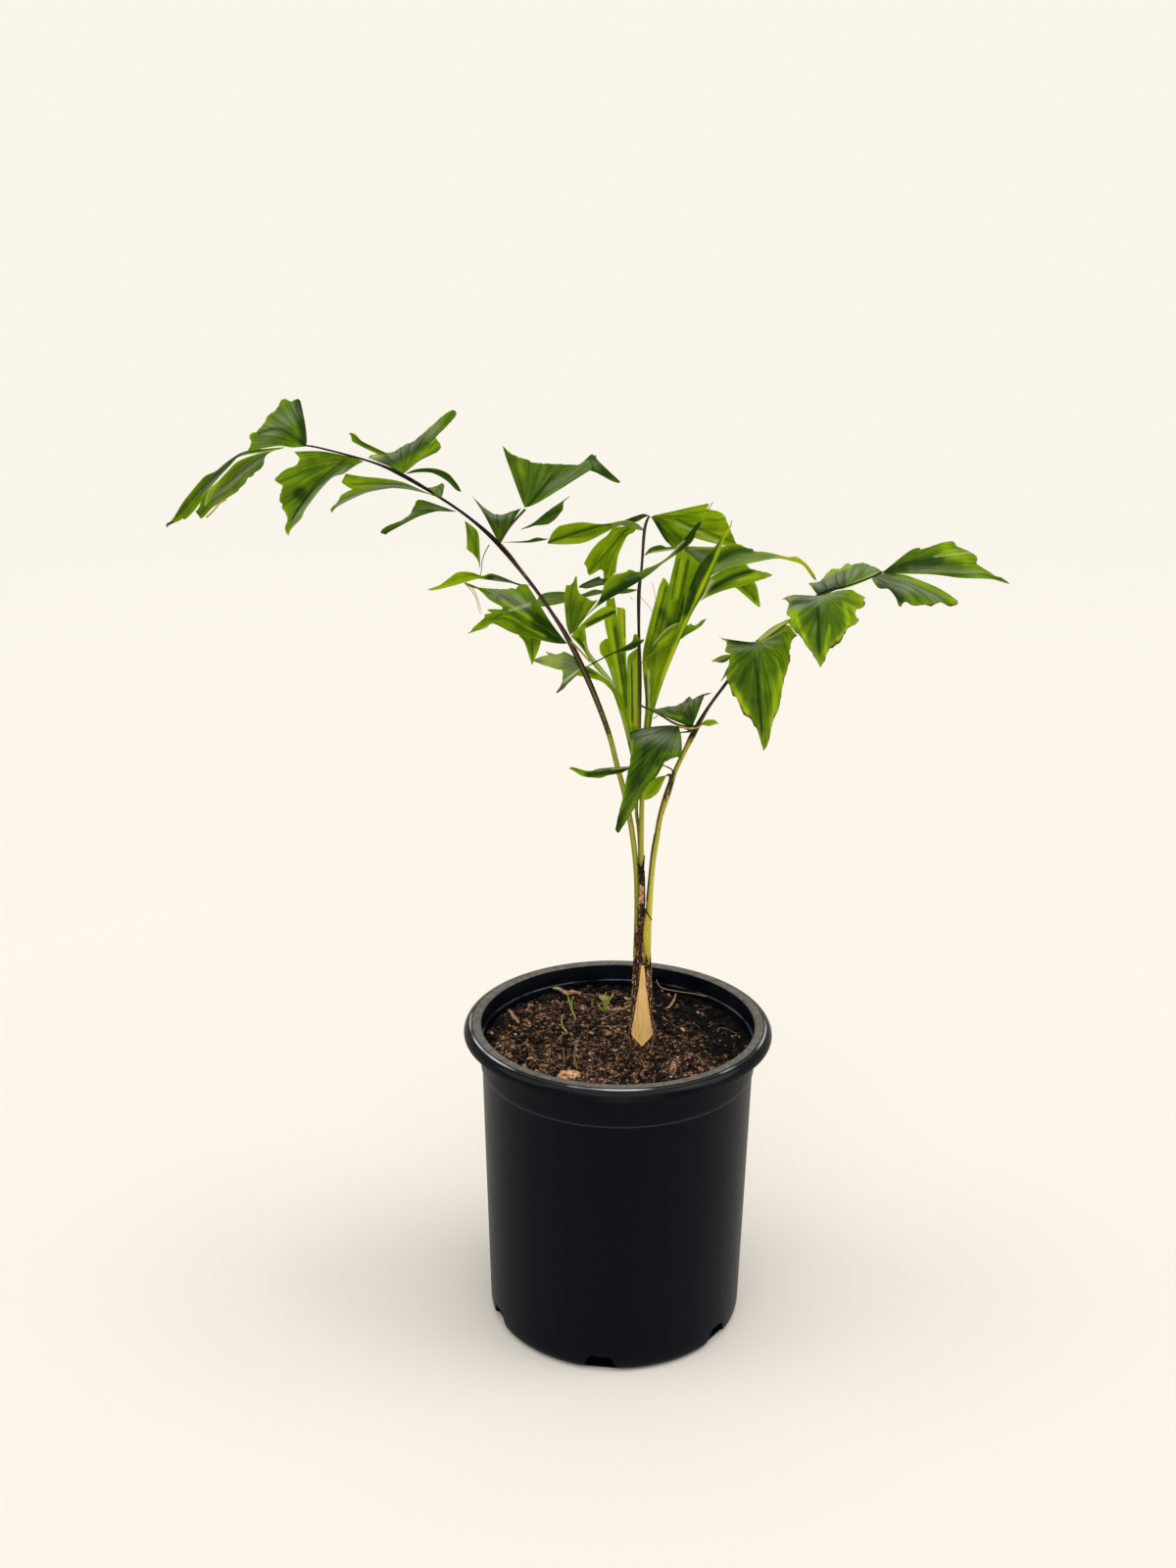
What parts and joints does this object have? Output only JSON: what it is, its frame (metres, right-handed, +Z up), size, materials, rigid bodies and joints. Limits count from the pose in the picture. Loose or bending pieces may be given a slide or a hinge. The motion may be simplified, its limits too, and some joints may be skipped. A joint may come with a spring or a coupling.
{
  "type": "potted fishtail palm",
  "caption": "Young fishtail palm with wedge-shaped, ragged-edged leaflets on arching fronds, growing from soil in a black moulded nursery pot with a rolled rim.",
  "frame": {"origin": "middle of the pot's flat bottom", "axes": "+Z up; -Y is the side a viewer faces; +X to that viewer's right"},
  "size_m": [0.5244, 0.22, 0.6702],
  "materials": {
    "pot_plastic": "black moulded polypropylene, satin",
    "potting_soil": "moist brown peat and bark mix, rough",
    "stem_fibre": "brown fibrous leaf bases, rough",
    "dry_sheath": "dry golden leaf sheath, matt",
    "leaf_green": "mature leaf, satin green with fine veins",
    "young_green": "young leaf and stalk, light green",
    "straw": "dry straw and twig, matt",
    "bark_clod": "rust-brown crumbling bark"
  },
  "bodies": {
    "root": {"pot": "pot_plastic", "soil": "potting_soil", "stem": "stem_fibre", "dry_sheath": "dry_sheath", "frond_left": "leaf_green", "frond_right": "leaf_green", "frond_middle": "leaf_green", "frond_young": "young_green", "sprout_thin": "young_green", "sprout_curled": "young_green", "sprout_cluster": "young_green", "stalk_dry": "straw", "straw_back": "straw", "stick_left": "straw", "root_right": "straw", "bark_clod": "bark_clod"}
  },
  "joints": []
}
